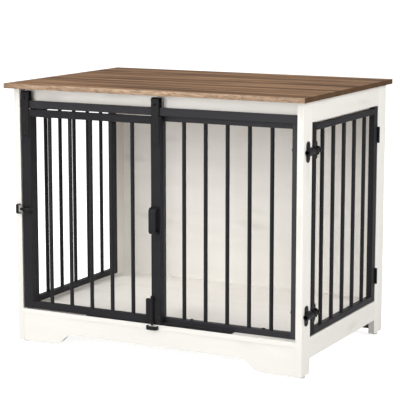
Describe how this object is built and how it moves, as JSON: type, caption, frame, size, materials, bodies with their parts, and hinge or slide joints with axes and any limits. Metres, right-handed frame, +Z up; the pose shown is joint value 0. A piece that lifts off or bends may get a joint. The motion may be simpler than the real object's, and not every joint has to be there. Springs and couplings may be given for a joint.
{
  "type": "pet crate",
  "caption": "Furniture-style pet crate: white wooden cabinet under a brown table top, black steel grilles, a rolling barred front door, a hinged barred side door and slide bolts.",
  "frame": {"origin": "on the floor, under the middle of the table top", "axes": "+X to the right seen from the front, along the track; +Y to the back; +Z up"},
  "size_m": [1, 0.685, 0.815],
  "materials": {
    "white_board": "satin white grained foil",
    "brown_top": "rustic brown grained foil",
    "dowel_wood": "plain beech",
    "black_steel": "satin powder coat",
    "black_hardware": "satin powder coat",
    "black_fastener": "black oxide",
    "black_plastic": "moulded",
    "pale_plastic": "moulded"
  },
  "bodies": {
    "cabinet": {"top_board": "brown_top", "front_left_leg": "white_board", "front_right_leg": "white_board", "rear_left_leg": "white_board", "rear_right_leg": "white_board", "left_top_rail": "white_board", "right_top_rail": "white_board", "left_bottom_rail": "white_board", "right_bottom_rail": "white_board", "front_top_rail": "white_board", "front_apron": "white_board", "floor_board": "white_board", "back_panel": "white_board", "leg_glides": "pale_plastic", "dowel_pins": "dowel_wood", "left_panel_front_stile": "black_steel", "left_panel_rear_stile": "black_steel", "left_panel_rails": "black_steel", "left_panel_bars": "black_steel", "front_panel_left_stile": "black_steel", "front_panel_right_stile": "black_steel", "front_panel_rails": "black_steel", "front_panel_bars": "black_steel", "door_track": "black_hardware", "floor_guide": "black_hardware", "cabinet_screws": "black_fastener", "latch_staple": "black_hardware", "drop_bolt_staple": "black_hardware", "side_bolt_keepers": "black_hardware", "hinge_leg_leaves": "black_hardware", "hinge_pins": "black_fastener"},
    "sliding_door": {"sliding_door_left_stile": "black_steel", "sliding_door_right_stile": "black_steel", "sliding_door_top_rail": "black_steel", "sliding_door_bottom_rail": "black_steel", "sliding_door_bars": "black_steel", "sliding_door_caps": "black_plastic", "left_hanger": "black_hardware", "right_hanger": "black_hardware", "roller_axles": "black_fastener", "hanger_bolts": "black_fastener", "pull_handle": "black_hardware", "door_latch_plate": "black_hardware", "drop_bolt_plate": "black_hardware", "sliding_door_screws": "black_fastener"},
    "left_roller": {"left_roller": "black_plastic"},
    "right_roller": {"right_roller": "black_plastic"},
    "door_latch_bolt": {"door_latch_bolt": "black_hardware"},
    "drop_bolt": {"drop_bolt": "black_hardware"},
    "side_door": {"side_door_front_stile": "black_steel", "side_door_rear_stile": "black_steel", "side_door_rails": "black_steel", "side_door_bars": "black_steel", "side_door_caps": "black_plastic", "hinge_door_leaves": "black_hardware", "side_bolt_plates": "black_hardware", "side_door_screws": "black_fastener"},
    "upper_side_bolt": {"upper_side_bolt": "black_hardware"},
    "lower_side_bolt": {"lower_side_bolt": "black_hardware"}
  },
  "joints": [
    {"name": "door_slide", "type": "slide", "parent": "cabinet", "child": "sliding_door", "axis": [1, 0, 0], "range_m": [0, 0.434]},
    {"name": "left_roller_spin", "type": "hinge", "parent": "sliding_door", "child": "left_roller", "pos_m": [-0.444, -0.3025, 0.7713], "axis": [0, 1, 0], "continuous": true},
    {"name": "right_roller_spin", "type": "hinge", "parent": "sliding_door", "child": "right_roller", "pos_m": [0.01, -0.3025, 0.7713], "axis": [0, 1, 0], "continuous": true},
    {"name": "door_latch", "type": "slide", "parent": "sliding_door", "child": "door_latch_bolt", "axis": [-1, 0, 0], "range_m": [0, 0.013]},
    {"name": "drop_bolt_slide", "type": "slide", "parent": "sliding_door", "child": "drop_bolt", "axis": [0, 0, -1], "range_m": [-0.015, 0.012]},
    {"name": "side_door_hinge", "type": "hinge", "parent": "cabinet", "child": "side_door", "pos_m": [0.4876, 0.2618, 0.42], "axis": [0, 0, 1], "range_deg": [0, 170]},
    {"name": "upper_side_latch", "type": "slide", "parent": "side_door", "child": "upper_side_bolt", "axis": [0, -1, 0], "range_m": [0, 0.009]},
    {"name": "lower_side_latch", "type": "slide", "parent": "side_door", "child": "lower_side_bolt", "axis": [0, -1, 0], "range_m": [0, 0.009]}
  ]
}
